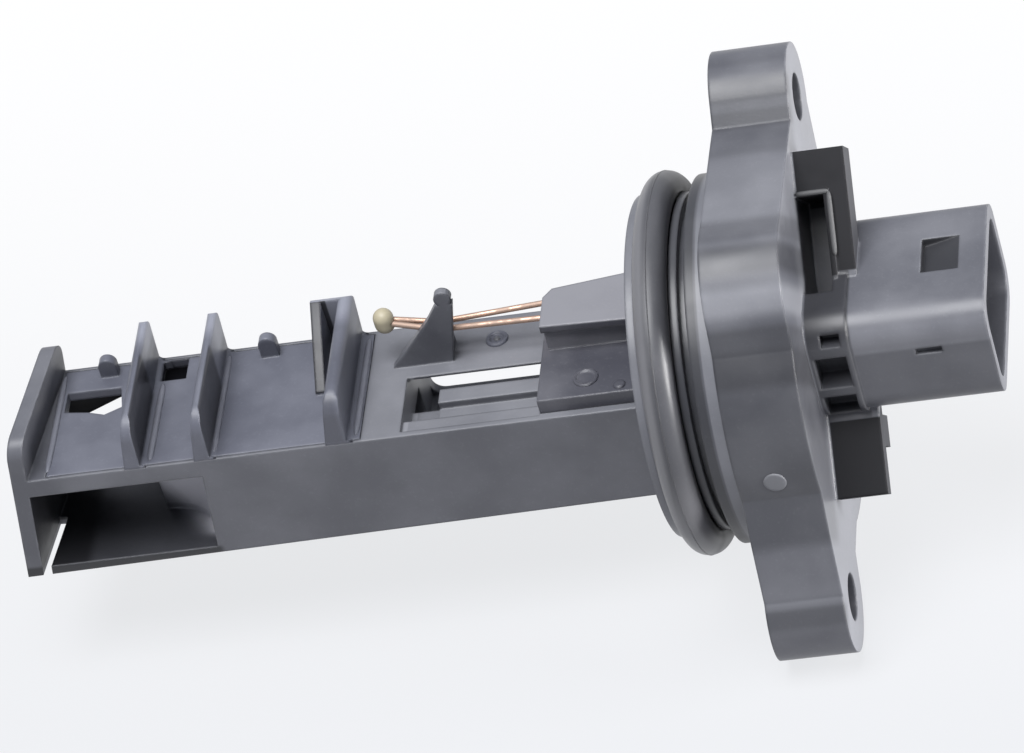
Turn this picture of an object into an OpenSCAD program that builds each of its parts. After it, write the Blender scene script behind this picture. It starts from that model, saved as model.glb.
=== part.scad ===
// Plug-in mass airflow sensor: a two-bolt flange with an O-ring spigot, a ribbed probe
// that carries the flow channel, and a plug socket on the far side of the flange.
// Frame: X runs from the probe tip to the plug socket and is 0 on the seating face of the
// flange, Z points out of the ribbed cover, and Y points away from the inlet.

/* [Flange] */
// Distance between the two bolt holes
bolt_pitch = 57; // [52:1:66]
// Bolt hole diameter
bolt_hole_d = 5.5; // [4:0.5:7]
// Radius of the rounded flange ears
ear_r = 6.3; // [5:0.1:8]
// Flange thickness
flange_t = 9; // [6:0.1:11]
// Angle of the bolt line from the width of the probe
bolt_angle = 45; // [35:1:55]
// Distance of the side lobe from the bolt line
lobe_reach = 24.5; // [22:0.5:28]
// Shift of the side lobe along the bolt line
lobe_shift = 6.2; // [4:0.2:8]
// Radius of the side lobe
lobe_r = 8; // [6:0.2:9]
// Half width of the flange where the ears begin
neck_w = 10.4; // [8.5:0.2:12]

/* [Spigot] */
// Depth of the spigot that enters the duct, from the seating face
spigot_l = 9.7; // [9:0.1:12]
// Radius of the spigot core under the O-ring
core_r = 18.1; // [17:0.1:19.5]
// Radius of the shoulder beside the flange
shoulder_r = 21.1; // [20:0.1:23]
// Length of the shoulder
shoulder_l = 2.6; // [1.5:0.1:3]
// Radius of the outer lip
lip_r = 19.6; // [18.8:0.1:21]
// Thickness of each lip
lip_t = 1; // [0.8:0.1:1.4]
// Thickness of the O-ring cord
ring_d = 3.9; // [3:0.1:4.2]

/* [Probe] */
// Reach of the probe tip from the seating face
probe_l = 84.6; // [80:0.2:95]
// Width of the probe
probe_w = 18.8; // [17:0.2:21]
// Height of the ribbed face above the axis
face_z = 2.4; // [1:0.1:4]
// Depth of the rear face below the axis at the tip
rear_tip_z = 12.3; // [11.5:0.1:13.5]
// Depth of the rear face below the axis at the flange
rear_root_z = 10.8; // [10.6:0.1:12]
// Wall thickness of the probe
wall = 1.3; // [1:0.1:1.6]
// Thickness of the tip plate
tip_t = 1.8; // [1.2:0.1:2.4]
// Slant of the tip plate over its height
tip_pitch = 8.5; // [0:0.5:12]
// Slant of the tip plate over its width
tip_yaw = 6.4; // [0:0.4:10]

/* [Covers] */
// Thickness of the ribbed channel cover
cover_t = 1.2; // [0.8:0.1:1.6]
// Clearance around a cover in its seat
cover_gap = 0.1; // [0.05:0.05:0.2]
// Height of the ribs above the face
rib_h = 6.6; // [4:0.2:7]
// Height of the tip plate above the face
tip_h = 5.4; // [4:0.2:7]
// Lean of the ribs over their height
rib_lean = 0.7; // [0:0.1:1]
// Thickness of a rib at its crest
rib_t = 1.1; // [0.8:0.1:1.6]
// Extra thickness of a rib at its foot
rib_draft = 0.8; // [0.2:0.1:1.2]
// Distances of the cross ribs from the seating face
rib_at = [70.2, 61.9, 46];
// Thickness of the electronics cover
lid_t = 1.9; // [1.4:0.1:2.4]
// Height of the lead block above the electronics cover
block_h = 4.1; // [3:0.1:5]

/* [Flow path] */
// Length of the inlet along the probe, from the tip
inlet_l = 21; // [16:0.2:22]
// Height of the bar between the inlet and the ribbed face
bar_h = 2.4; // [1.8:0.1:3]
// Near end of the sensor bay, from the seating face
bay_near = 23; // [22:0.2:24]
// Far end of the sensor bay, from the seating face
bay_far = 39.3; // [37:0.2:41]
// Depth of the sensor bay floor below the axis
bay_floor_z = 7.2; // [6:0.2:7.2]

/* [Thermistor] */
// Wire diameter of the leads
lead_d = 0.7; // [0.5:0.1:0.9]
// Height of the bead above the axis
bead_z = 8.1; // [7:0.1:8.6]
// Height of the leads at the post
lead_z = 6.4; // [6:0.1:6.8]
// Radius of the glass bead
bead_r = 1.2; // [1:0.1:1.5]
// Distance of the bead from the seating face
bead_x = 41; // [39:0.2:43]
// Distance of the lead post from the seating face
post_x = 34; // [33:0.2:36]

/* [Plug socket] */
// Width of the socket shroud
shroud_w = 20.2; // [19:0.2:23]
// Height of the socket shroud
shroud_h = 14; // [12:0.2:16]
// Height of the socket centre above the axis
shroud_z = 4.1; // [2:0.1:5]
// Corner radius of the shroud
shroud_r = 3.4; // [2:0.1:4.5]
// Wall thickness of the shroud
shroud_wall = 1.5; // [1.2:0.1:2]
// Reach of the shroud from the seating face
shroud_x = 29.5; // [27:0.5:34]
// Depth of the socket
socket_l = 15; // [12:0.5:16]
// Number of contact blades
blades = 5; // [3:1:5]
// Spacing of the contact blades
blade_pitch = 3.2; // [2.8:0.1:3.3]
// Width of a contact blade
blade_w = 1.3; // [0.8:0.1:1.6]
// Thickness of a contact blade
blade_t = 0.8; // [0.5:0.1:1]

/* [Hidden] */
$fn = 96;
eps = 0.01;
far = 60;

half_w = probe_w / 2;
inner_w = half_w - wall;
rib_top = face_z + rib_h;
tip_top = face_z + tip_h;
cover_z = face_z - cover_t;
tip_x = -probe_l;
cover_x0 = tip_x + 3.2;
cover_x1 = -bay_far - 4.6;
seat_w = half_w - 0.4;

duct_x1 = tip_x + inlet_l;
duct_scoop_r = 7.6;
duct_floor_z = -rear_tip_z + wall;
inner_z = -rear_root_z + 1.1;
passage_x0 = duct_x1 + 0.2;
passage_x1 = cover_x1 - wall;
bay_x0 = -bay_far;
bay_x1 = -bay_near;
bay_step = 4;
panel_y = 0.5;
ledge_y0 = -4.1;
ledge_y1 = -1.8;
ledge_z = face_z - 0.3;
case_x0 = bay_x1 + 1.5;
case_x1 = -spigot_l - wall;
lid_x0 = bay_x1 + 0.1;
lid_x1 = -spigot_l - 0.3;
lid_z = face_z + lid_t;
block_x0 = lid_x0 + 0.6;
block_z = lid_z + block_h;

board_t = 0.8;
rail_h = 0.5;
board_z = inner_z + rail_h;
board_top = board_z + board_t;
chip_size = 6;
chip_margin = 3.8;
chip_x = passage_x1 - chip_margin - chip_size / 2;
board_x0 = chip_x - chip_size;
board_x1 = case_x1 - 0.6;
board_y = inner_w - 1;

ring_x = -spigot_l + lip_t + ring_d / 2 + 0.05;
ring_centre_r = core_r + ring_d / 2;
lip2_x = ring_x + ring_d / 2 + 0.05;

lead_r = lead_d / 2;
lead_down_x = case_x0 + 3.5;
lead_gap = 0.15;
lead_mid_y = 4.4;
lead_spread = [0.6, -0.7];
post_y = 2.5;
post_t = 1;
post_top = face_z + 9.3;

blade_z = shroud_z;
blade_in_z = -1;
blade_out_x = shroud_x - 6.5;
blade_leg_x = case_x1 - 2.6;
web_x = flange_t + 3.9;
tall_web_x = flange_t + 6;
collar_x = flange_t + 4.9;
collar_grow = 0.3;

// A sketch with its first axis along Y and its second along Z, drawn out along X
module along_x(x, l) {
    translate([x, 0, 0]) rotate([90, 0, 90]) linear_extrude(l) children();
}

// A sketch with its first axis along X and its second along Z, drawn out along Y
module along_y(y, l) {
    translate([0, y + l, 0]) rotate([90, 0, 0]) linear_extrude(l) children();
}

// A sketch in X and Y, drawn out along Z
module along_z(z, l) {
    translate([0, 0, z]) linear_extrude(l) children();
}

module box(x0, x1, y0, y1, z0, z1) {
    translate([x0, y0, z0]) cube([x1 - x0, y1 - y0, z1 - z0]);
}

module disc(x0, x1, r) {
    translate([x0, 0, 0]) rotate([0, 90, 0]) cylinder(h = x1 - x0, r = r);
}

module round_box(w, h, r) {
    square([w - 2 * r, h], center = true);
    square([w, h - 2 * r], center = true);
    for (sx = [-1, 1], sy = [-1, 1])
        translate([sx * (w / 2 - r), sy * (h / 2 - r)]) circle(r);
}

// Outer limit of the tip plate or the ribs, seen along the probe, with two corner radii
module probe_outline(top, near_r, far_r) {
    low = -rear_tip_z - 1;
    translate([-half_w, low]) square([half_w, top - near_r - low]);
    translate([0, low]) square([half_w, top - far_r - low]);
    translate([-half_w + near_r, 0]) square([probe_w - near_r - far_r, top]);
    translate([-half_w + near_r, top - near_r]) circle(near_r);
    translate([half_w - far_r, top - far_r]) circle(far_r);
}

module rib_limit() {
    along_x(tip_x, -tip_x) probe_outline(rib_top, 2.6, 1.4);
}

// The slanted plane of the tip plate, with its outer face on X = 0
module tip_frame() {
    translate([tip_x, -half_w, tip_top]) rotate([0, tip_pitch, -tip_yaw]) children();
}

// Flange outline with the bolt line along the sketch's first axis
module flange_side(neck) {
    p = bolt_pitch / 2;
    c = [lobe_shift, lobe_reach - lobe_r];
    a1 = 52;
    a2 = 121;
    translate([p, 0]) circle(ear_r);
    translate(c) circle(lobe_r);
    polygon(concat([[p, 0], [p, ear_r]], neck,
                   [c + lobe_r * [cos(a1), sin(a1)], c + lobe_r * [cos(a2), sin(a2)],
                    [-p + 6.5, neck_w], [-p, ear_r], [-p, 0]]));
}

// The neck is fuller on the near side than on the far side
module flange_outline() {
    p = bolt_pitch / 2;
    circle(shoulder_r + 0.4);
    flange_side([[p - 3.2, ear_r], [p - 5.8, neck_w - 1]]);
    rotate(180) flange_side([[p - 1.5, ear_r - 0.1], [p - 5.2, ear_r - 1], [p - 10, neck_w - 0.9]]);
}

module flange() {
    difference() {
        along_x(0, flange_t) rotate(bolt_angle) flange_outline();
        for (s = [-1, 1])
            rotate([bolt_angle, 0, 0]) translate([-eps, s * bolt_pitch / 2, 0]) rotate([0, 90, 0])
                cylinder(h = flange_t + 2 * eps, d = bolt_hole_d);
    }
}

module spigot() {
    disc(-spigot_l, eps, core_r);
    disc(-shoulder_l, eps, shoulder_r);
    disc(-spigot_l, -spigot_l + lip_t, lip_r);
    disc(lip2_x, lip2_x + lip_t - 0.1, lip_r - 0.3);
}

// Side view of the probe: the rear face runs out toward the tip
module probe_side() {
    polygon([[tip_x - 6, face_z], [-1, face_z], [-1, -rear_root_z], [tip_x - 6, -rear_tip_z]]);
}

module probe_block() {
    along_y(-half_w, probe_w) probe_side();
}

module tip_plate() {
    intersection() {
        along_x(tip_x - 8, 14) probe_outline(tip_top, 2.2, 2.8);
        tip_frame() translate([0, -far / 2, -far / 2]) cube([tip_t, far, far]);
        along_y(-far / 2, far) polygon([[tip_x - 9, far], [0, far], [0, -rear_root_z],
                                        [tip_x - 9, -rear_tip_z]]);
    }
}

// Inlet duct with its scooped end, open to the near side
module duct_cut() {
    along_z(duct_floor_z, cover_z - duct_floor_z + eps) {
        translate([tip_x - 8, -inner_w])
            square([duct_x1 - duct_scoop_r - tip_x + 8, 2 * inner_w]);
        intersection() {
            translate([duct_x1 - duct_scoop_r, -half_w]) circle(duct_scoop_r);
            translate([duct_x1 - duct_scoop_r - 1, -inner_w]) square([duct_scoop_r + 2, inner_w]);
        }
    }
    along_y(-half_w - 1, wall + 1 + eps)
        polygon([[tip_x - 8, face_z - bar_h], [duct_x1 + 0.4, face_z - bar_h],
                 [duct_x1 - 0.7, duct_floor_z], [tip_x - 8, duct_floor_z]]);
    // outlet on the far side and the passage on to the sensing chip
    along_y(inner_w - eps, wall + 1)
        polygon([[tip_x + 3.4, -9.5], [tip_x + 10.4, -9.5], [tip_x + 10.4, -1], [tip_x + 3.4, -3.9]]);
    box(duct_x1 - duct_scoop_r - 1, passage_x0 + eps, 1.5, 6.5, -7, -1.5);
    drain_slot();
}

// Narrow slot through the rear wall, beside the tip plate
module drain_slot() {
    tip_frame() translate([tip_t, -1, -(tip_top + rear_tip_z) / cos(tip_pitch) - 2])
        cube([1.1, 9.4, 4.2]);
}

module passage_cut() {
    box(passage_x0, passage_x1, -inner_w, inner_w, inner_z, cover_z + eps);
    box(passage_x1 - eps, bay_x0 + eps, -2.5, 3.5, -bay_floor_z, -1.8);
}

// Open bay behind the thermistor, with a way out on the far side
module bay_cut() {
    corner = 1.6;
    box(bay_x0, bay_x1, ledge_y1, inner_w, -bay_floor_z, cover_z);
    box(bay_x0, bay_x1, ledge_y1, panel_y, cover_z - eps, face_z + 1);
    // step of the ledge, the trough in front of it and the near rail
    box(bay_x0, bay_x1, ledge_y0, ledge_y1 + eps, ledge_z, face_z + 1);
    box(bay_x0, bay_x1, -6.3, ledge_y0 + eps, cover_z, face_z + 1);
    box(bay_x0, bay_x1, -half_w + 0.8, -6.2, cover_z + 0.6, face_z + 1);
    box(bay_x0, bay_x0 + bay_step, -6.3, ledge_y1 + eps, -1, face_z + 1);
    // underside of the panel, cut back to a thin edge
    along_x(bay_x0, bay_x1 - bay_x0)
        polygon([[panel_y - eps, cover_z - eps], [panel_y + 1.15, cover_z - eps], [panel_y - eps, face_z - 0.3]]);
    along_y(inner_w - eps, wall + 1) {
        translate([bay_x0 + corner, -bay_floor_z])
            square([bay_far - bay_near - corner, bay_floor_z + cover_z]);
        translate([bay_x0, -bay_floor_z + corner]) square([corner + 1, bay_floor_z + cover_z - corner]);
        translate([bay_x0 + corner, -bay_floor_z + corner]) circle(corner);
    }
}

module case_cut() {
    box(case_x0, case_x1, -inner_w, inner_w, inner_z, face_z + 1);
    box(passage_x0, case_x1, -inner_w, inner_w, -rear_tip_z - 1, inner_z + eps);
    box(passage_x0, case_x1, -inner_w, inner_w, inner_z, -bay_floor_z - 0.6);
}

module cover_seat_cut() {
    box(cover_x0, cover_x1, -seat_w, seat_w, cover_z, face_z + 1);
}

// Upright gusset with a round head, and the block behind it that holds both leads
module lead_post() {
    x0 = -post_x;
    z0 = face_z - eps;
    along_y(post_y, post_t) {
        polygon([[x0 - 7.1, z0], [x0, z0], [x0 + 1.9, post_top - 0.8], [x0 - 0.1, post_top - 0.8],
                 [x0 - 1.6, post_top - 3]]);
        translate([x0 + 0.9, post_top]) circle(1);
    }
    difference() {
        box(x0 - 1.6, x0, post_y, lead_mid_y + 1.7, z0, lead_z + 1);
        for (y = lead_spread) box(x0 - 2, x0 + 1, lead_mid_y + y - lead_r - lead_gap,
                                  lead_mid_y + y + lead_r + lead_gap, lead_z - lead_r - lead_gap, lead_z + 2);
    }
}

module shroud_body() {
    along_x(flange_t - 1, shroud_x - flange_t + 1)
        translate([0, shroud_z]) round_box(shroud_w, shroud_h, shroud_r);
    along_x(flange_t - 1, collar_x - flange_t + 1) translate([0, shroud_z])
        round_box(shroud_w + 2 * collar_grow, shroud_h + 2 * collar_grow, shroud_r + collar_grow);
}

// Stiffening web along the bolt line, with the cored pockets beside it
module root_webs() {
    along_x(flange_t - 1, web_x - flange_t + 1) rotate(bolt_angle)
        translate([4.4, -1]) square([12.5, 10.5]);
    along_x(flange_t - 1, tall_web_x - flange_t + 1) rotate(bolt_angle) {
        translate([0, 5]) square([21.4, 4]);
        translate([-17.6, 2]) square([18, 2]);
    }
    along_x(flange_t - 1, collar_x - flange_t + 1) rotate(bolt_angle)
        translate([-11.8, -8]) square([3.6, 4.6]);
}

module root_pockets() {
    core = 0.6;
    side = -shroud_w / 2 - collar_grow;
    along_x(flange_t, web_x - flange_t - core) rotate(bolt_angle)
        translate([5.2, 1]) square([11, 20]);
    for (z = [[2.6, 7.1], [-2.2, 1.4]])
        box(flange_t + core, collar_x - core, side - 1, side + 3, z[0], z[1]);
    box(flange_t + 1.8, flange_t + 4, side - 1, side + 2, 8.5, 9.9);
}

module socket_cut() {
    along_x(shroud_x - socket_l, socket_l + 1) translate([0, shroud_z])
        round_box(shroud_w - 2 * shroud_wall, shroud_h - 2 * shroud_wall, shroud_r - shroud_wall + 0.4);
}

// Sloping pocket on the upper face and a small one on the near face, for the plug's latch
module latch_cut() {
    top = shroud_z + shroud_h / 2;
    x0 = shroud_x - 7.3;
    along_y(-2.4, 5.6)
        polygon([[x0, top + 1], [x0, top - 1.1], [x0 + 4.4, top + eps], [x0 + 4.4, top + 1]]);
    box(x0 - 1.2, x0 + 1.8, -shroud_w / 2 - 1, -shroud_w / 2 + 0.6, top - shroud_r - 1.9,
        top - shroud_r - 1);
}

module blade_path() {
    h = blade_t / 2;
    jog = 4;
    polygon([[blade_out_x, blade_z - h * 0.4], [blade_out_x - 1, blade_z - h],
             [jog + h, blade_z - h], [jog - 3 + h, blade_in_z - h],
             [blade_leg_x + h, blade_in_z - h], [blade_leg_x + h, board_top],
             [blade_leg_x - h, board_top], [blade_leg_x - h, blade_in_z + h],
             [jog - 3 - h, blade_in_z + h], [jog - h, blade_z + h],
             [blade_out_x - 1, blade_z + h], [blade_out_x, blade_z + h * 0.4]]);
}

function blade_y(i) = (i - 2) * blade_pitch - blade_w / 2;

module housing() color([0.23, 0.24, 0.26]) {
    difference() {
        union() {
            difference() {
                union() {
                    flange();
                    spigot();
                    probe_block();
                    difference() {
                        union() {
                            shroud_body();
                            root_webs();
                        }
                        root_pockets();
                    }
                }
                duct_cut();
                passage_cut();
                bay_cut();
                case_cut();
                cover_seat_cut();
                socket_cut();
                latch_cut();
                for (i = [0 : blades - 1]) along_y(blade_y(i), blade_w) blade_path();
            }
            tip_plate();
            lead_post();
        }
        tip_frame() translate([-far / 2, -far / 2, -far / 2]) cube([far / 2, far, far]);
    }
}

// Cross section of a rib with its crest at x, leaning toward the flange, with a fillet at its foot
module rib_section(x, t) {
    foot = x - rib_lean;
    top = rib_top - t / 2;
    fillet_r = 0.8;
    polygon([[foot - (t + rib_draft) / 2, face_z], [foot + (t + rib_draft) / 2, face_z],
             [x + t / 2, top], [x - t / 2, top]]);
    translate([x, top]) circle(t / 2, $fn = 32);
    translate([foot + (t + rib_draft) / 2 - 0.1, face_z]) difference() {
        square(fillet_r);
        translate([fillet_r, fillet_r]) circle(fillet_r, $fn = 32);
    }
}

module rib(x, t = rib_t) {
    intersection() {
        along_y(-half_w, probe_w) rib_section(x, t);
        rib_limit();
    }
}

// Gusset beside the last rib, falling from the far side to the face, and the wall behind it
module twin_rib(x, x1) {
    intersection() {
        union() {
            along_x(x - 0.6, 1.2) polygon([[half_w, face_z - eps], [half_w, rib_top], [half_w - 1.2, rib_top],
                                           [-0.5, face_z + 0.4], [-0.5, face_z - eps]]);
            box(x - 0.6, x1, half_w - 1.2, half_w, face_z - eps, rib_top);
        }
        rib_limit();
    }
}

// Small round-topped nub on the far edge of the cover
module nub(x, h) {
    w = 2.1;
    along_y(7.2, 1.2) {
        translate([x - w / 2, face_z - eps]) square([w, h - w / 2 + eps]);
        translate([x, face_z + h - w / 2]) circle(w / 2, $fn = 32);
    }
}

module channel_cover() color([0.3, 0.31, 0.36]) {
    g = cover_gap;
    y1 = seat_w - g;
    window_x = tip_x + 4;
    slot_x = -rib_at[1] - 4.4;
    difference() {
        box(cover_x0 + g, cover_x1 - g, -y1, y1, cover_z, face_z);
        // window over the inlet duct
        along_z(cover_z - 1, cover_t + 2)
            polygon([[window_x, 1.9], [window_x + 3, 1.4], [window_x + 5, 0.7], [window_x + 7, 1.7],
                     [window_x + 6.5, 5.1], [window_x, 5.2]]);
        // slot between the first two ribs, with a round corner
        along_z(cover_z - 1, cover_t + 2) {
            translate([slot_x - 2.2, 5.3]) square([2.2, 3.5]);
            intersection() {
                translate([slot_x - 2.2, 5.3]) circle(3.4);
                translate([slot_x - 3.2, 5.3]) square([1.2, 3.5]);
            }
        }
    }
    rib(-rib_at[0]);
    rib(-rib_at[1]);
    rib(-rib_at[2], 1.6 * rib_t);
    twin_rib(-rib_at[2] - 3.4, -rib_at[2]);
    nub(tip_x + 8.9, 2.5);
    nub(-rib_at[1] + 5.6, 2.8);
}

// Round rod from a to b, with a slightly larger ball at b for the bend
module rod(a, b, r) {
    d = b - a;
    translate(a) rotate([0, acos(d[2] / norm(d)), atan2(d[1], d[0])])
        cylinder(h = norm(d), r = r, $fn = 32);
    translate(b) sphere(r + 0.04, $fn = 32);
}

// A lead from the bead to the post, on into the lid and down to the board
function lead_points(i) = [
    [-bead_x, lead_mid_y + lead_spread[i] / 2, bead_z],
    [-post_x - 0.8, lead_mid_y + lead_spread[i], lead_z],
    [block_x0 + 1, lead_mid_y + lead_spread[i] * 1.6, lead_z + 0.4 + lead_spread[i] * 0.4],
    [lead_down_x, lead_mid_y + lead_spread[i] * 1.6, lead_z + 0.4 + lead_spread[i] * 0.4]];

module lead_path(i) {
    p = lead_points(i);
    for (k = [0 : 2]) rod(p[k], p[k + 1], lead_r);
    translate([p[3][0], p[3][1], board_top]) cylinder(h = p[3][2] - board_top, r = lead_r, $fn = 32);
}

// Square channels in the lid that a lead runs along and then down through
module lead_channel(i) {
    end = lead_points(i)[3];
    r = lead_r + lead_gap;
    box(block_x0 - 1, end[0] + r, end[1] - r, end[1] + r, end[2] - r, end[2] + r);
    box(end[0] - r, end[0] + r, end[1] - r, end[1] + r, cover_z - 1, end[2]);
}

module electronics_cover() color([0.32, 0.32, 0.35]) {
    g = cover_gap;
    difference() {
        union() {
            box(lid_x0, lid_x1, -half_w + 1, half_w - 1, face_z, lid_z);
            // raised block for the thermistor leads, under an overhanging top
            box(block_x0 + 0.2, lid_x1, 0.2, 5.6, lid_z - eps, block_z - 1);
            along_z(block_z - 1, 1)
                polygon([[block_x0, -0.4], [lid_x1, -0.9], [lid_x1, 7.6], [lid_x1 - 2.6, 7.2],
                         [block_x0 + 1, 6], [block_x0, 4.6]]);
            // plug of the lid inside the case
            box(case_x0 + g, case_x1 - g, -inner_w + g, inner_w - g, cover_z, face_z + eps);
        }
        box(case_x0 + wall, case_x1 - wall, -inner_w + wall, inner_w - wall, cover_z - 1, face_z);
        for (i = [0, 1]) lead_channel(i);
    }
}

// Rear cover with two rails that carry the circuit board
module rear_cover() color([0.24, 0.25, 0.27]) {
    g = cover_gap;
    slope = (rear_tip_z - rear_root_z) / (probe_l + 5);
    x0 = passage_x0 + g;
    x1 = case_x1 - g;
    along_y(-inner_w + g, 2 * (inner_w - g))
        polygon([[x0, inner_z], [x1, inner_z], [x1, -rear_root_z - slope * (-1 - x1)],
                 [x0, -rear_root_z - slope * (-1 - x0)]]);
    for (s = [-1, 1])
        box(board_x0, board_x1, s * 5 - 0.6, s * 5 + 0.6, inner_z - eps, board_z);
}

module o_ring() color([0.06, 0.06, 0.07])
    translate([ring_x, 0, 0]) rotate([0, 90, 0]) rotate_extrude()
        translate([ring_centre_r, 0]) circle(ring_d / 2, $fn = 48);

module thermistor_bead() color([0.8, 0.76, 0.6]) {
    difference() {
        translate([-bead_x, lead_mid_y, bead_z]) {
            translate([0, 0, -0.4]) cylinder(h = 0.8, r = bead_r, $fn = 48);
            for (s = [-0.4, 0.4]) translate([0, 0, s]) sphere(bead_r, $fn = 48);
        }
        for (i = [0, 1]) lead_path(i);
    }
}

module thermistor_lead_a() color([0.72, 0.45, 0.33]) lead_path(0);

module thermistor_lead_b() color([0.72, 0.45, 0.33]) lead_path(1);

module circuit_board() color([0.13, 0.3, 0.2])
    box(board_x0, board_x1, -board_y, board_y, board_z, board_top);

// A part that stands on the board, placed by its middle
module on_board(x, y, size) {
    translate([x - size[0] / 2, y - size[1] / 2, board_top]) cube(size);
}

module sensing_chip() color([0.35, 0.37, 0.45]) on_board(chip_x, 0, [3, 3, 0.5]);

module chip_frame() color([0.85, 0.85, 0.82])
    difference() {
        on_board(chip_x, 0, [chip_size, chip_size, 1]);
        on_board(chip_x, 0, [3, 3, 2]);
    }

module control_chip() color([0.1, 0.1, 0.11]) on_board(case_x0 + 3, -3.4, [4.6, 5, 1.2]);

module capacitor_a() color([0.72, 0.6, 0.42]) on_board(case_x0 + 1.6, 1.6, [2, 1.2, 1]);

module capacitor_b() color([0.72, 0.6, 0.42]) on_board(case_x0 + 1.6, 5, [2, 1.2, 1]);

module capacitor_c() color([0.72, 0.6, 0.42]) on_board(chip_x, 5.2, [2, 1.2, 1]);

module resistor_a() color([0.15, 0.15, 0.17]) on_board(chip_x - 1.4, -5.2, [1.6, 0.8, 0.5]);

module resistor_b() color([0.15, 0.15, 0.17]) on_board(chip_x + 1.4, -5.2, [1.6, 0.8, 0.5]);

module terminal(i) color([0.75, 0.72, 0.66])
    if (i < blades) along_y(blade_y(i), blade_w) blade_path();

housing();
channel_cover();
electronics_cover();
rear_cover();
o_ring();
thermistor_bead();
thermistor_lead_a();
thermistor_lead_b();
circuit_board();
sensing_chip();
chip_frame();
control_chip();
capacitor_a();
capacitor_b();
capacitor_c();
resistor_a();
resistor_b();
terminal(0);  // terminal_1
terminal(1);  // terminal_2
terminal(2);  // terminal_3
terminal(3);  // terminal_4
terminal(4);  // terminal_5
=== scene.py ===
# %% [markdown]
# A plug-in air flow sensor, seen from above and a little from the plug side. The solids come
# from the CAD frame. This file gives them light, moulded plastic, rubber, wire and wear, and
# adds the small moulded details that the solids leave out. Sizes are written in millimetres,
# and MM turns them into Blender's metres.

import bpy
import numpy as np
from mathutils import Matrix, Vector


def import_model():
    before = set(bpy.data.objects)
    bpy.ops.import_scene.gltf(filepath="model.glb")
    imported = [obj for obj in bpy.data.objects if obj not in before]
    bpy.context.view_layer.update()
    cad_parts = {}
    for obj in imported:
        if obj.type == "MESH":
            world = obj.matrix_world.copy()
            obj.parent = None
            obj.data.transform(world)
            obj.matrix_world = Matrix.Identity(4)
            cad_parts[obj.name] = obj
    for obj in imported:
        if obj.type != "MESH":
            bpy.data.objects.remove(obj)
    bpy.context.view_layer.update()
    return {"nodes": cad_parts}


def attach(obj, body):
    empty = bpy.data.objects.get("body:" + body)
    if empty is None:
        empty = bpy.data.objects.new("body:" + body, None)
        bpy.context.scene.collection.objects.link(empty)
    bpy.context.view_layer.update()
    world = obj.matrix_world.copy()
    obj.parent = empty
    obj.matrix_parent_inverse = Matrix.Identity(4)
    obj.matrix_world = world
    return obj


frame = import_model()
nodes = frame["nodes"]
scene = bpy.context.scene
MM = 0.001

# %% [markdown]
# The photograph was taken with a long lens, so lines along the probe stay nearly parallel. A
# camera can be placed by hand until the picture fits. Here it is placed by numbers that can be
# measured and changed one at a time: the direction it looks from, how far away it stands, and
# how far it is rolled about its own line of sight.

# %% Camera
PHOTO_WIDTH = 1024
FOCAL_PIXELS = 6500
SENSOR_MM = 36.0
CLIP_START = 10 * MM
VIEW_AZIMUTH = 16.197
VIEW_ELEVATION = 39.785
VIEW_ROLL = 17.543
VIEW_TARGET = Vector((-26.10, -3.74, 4.42)) * MM
VIEW_DISTANCE = 736.5 * MM


def toward(azimuth, elevation):
    """Unit vector (sin az cos el, -cos az cos el, sin el), in degrees."""
    az, el = np.radians([azimuth, elevation])
    return Vector((np.sin(az) * np.cos(el), -np.cos(az) * np.cos(el), np.sin(el)))


def camera_matrix(azimuth, elevation, roll, target, distance):
    """Stands at target + distance * toward(az, el), turned by roll about its line of sight."""
    back = toward(azimuth, elevation)
    level_up = (Vector((0, 0, 1)) - back * back.z).normalized()
    level_right = level_up.cross(back)
    turn = np.radians(roll)
    right = level_right * np.cos(turn) - level_up * np.sin(turn)
    up = level_up * np.cos(turn) + level_right * np.sin(turn)
    turned_frame = Matrix((right, up, back)).transposed().to_4x4()
    return Matrix.Translation(target + back * distance) @ turned_frame


camera_data = bpy.data.cameras.new("camera")
camera_data.sensor_width = SENSOR_MM
camera_data.lens = FOCAL_PIXELS / PHOTO_WIDTH * SENSOR_MM
camera_data.clip_start = CLIP_START
camera = bpy.data.objects.new("camera", camera_data)
scene.collection.objects.link(camera)
camera.matrix_world = camera_matrix(VIEW_AZIMUTH, VIEW_ELEVATION, VIEW_ROLL, VIEW_TARGET,
                                    VIEW_DISTANCE)
scene.camera = camera
print("lens", round(camera_data.lens, 1), "mm")

# %% [markdown]
# A product photograph is lit by large soft lamps. One could build them as glowing panels, but
# area lights give less noise. The large one hangs almost overhead, a little to the viewer's
# side, so the faces that lean toward the viewer are the brightest. A small low one stands off
# the plug end: it lifts the end face of the flange, while the flange keeps it off the ribs.

# %% Light
scene.view_settings.view_transform = "Standard"
KEY = {"azimuth": -20, "elevation": 76, "distance": 800, "size": 500, "power": 9.0,
       "tint": (0.98, 0.985, 1.0)}
SIDE = {"azimuth": 84, "elevation": 10, "distance": 600, "size": 250, "power": 6.0,
        "tint": (1.0, 0.99, 0.98)}
AIM = Vector((-25, 0, 0)) * MM


def soft_light(name, azimuth, elevation, distance, size, power, tint):
    """A square area light on the given direction from AIM, turned to face it."""
    direction = toward(azimuth, elevation)
    data = bpy.data.lights.new(name, "AREA")
    data.shape = "SQUARE"
    data.size = size * MM
    data.energy = power
    data.color = tint
    lamp = bpy.data.objects.new(name, data)
    scene.collection.objects.link(lamp)
    lamp.location = AIM + direction * distance * MM
    lamp.rotation_euler = direction.to_track_quat("Z", "Y").to_euler()


soft_light("key", **KEY)
soft_light("side", **SIDE)
print("lights: key", KEY["power"], "W, side", SIDE["power"], "W")

# %% [markdown]
# Materials are drawn as graphs of nodes, and writing each node out takes many lines. Small
# helpers keep the graphs short. Each makes one node, joins its inputs and gives back its output.

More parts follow.
